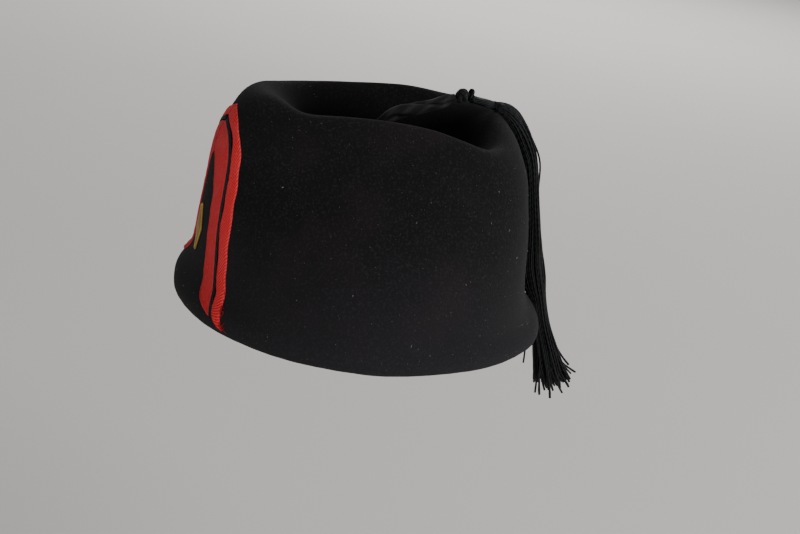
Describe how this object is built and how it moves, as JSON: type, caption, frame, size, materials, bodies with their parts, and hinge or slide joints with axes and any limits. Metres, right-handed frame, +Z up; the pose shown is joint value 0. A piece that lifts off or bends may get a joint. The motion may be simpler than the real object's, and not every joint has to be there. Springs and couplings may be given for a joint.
{
  "type": "fez hat",
  "caption": "Black felt fez with a crown sunk lengthwise, red and black front stripes that meet in a point, a small gold lozenge and a long black tassel on a cord over the back.",
  "frame": {"origin": "centre of the rim's plane, where the hat sits on a head", "axes": "+Z up through the crown, -Y towards the front of the hat, +Y towards the back with the tassel, +X towards the wearer's left"},
  "size_m": [0.189, 0.222, 0.1674],
  "materials": {
    "black_felt": "matt pressed felt",
    "red_felt": "matt woven band",
    "red_twill": "matt twill tape",
    "black_piping": "flat braided cord",
    "gold_thread": "laid metallic thread",
    "cord_braid": "matt plaited cord",
    "tassel_thread": "smooth twisted thread"
  },
  "bodies": {
    "root": {"crown": "black_felt", "band_left": "red_felt", "band_right": "red_felt", "tape_left": "red_twill", "tape_right": "red_twill", "piping_left": "black_piping", "piping_right": "black_piping", "motif": "gold_thread", "tassel_cord": "cord_braid", "cord_knot": "cord_braid", "tassel_sleeve": "tassel_thread", "tassel_skirt": "tassel_thread"}
  },
  "joints": []
}
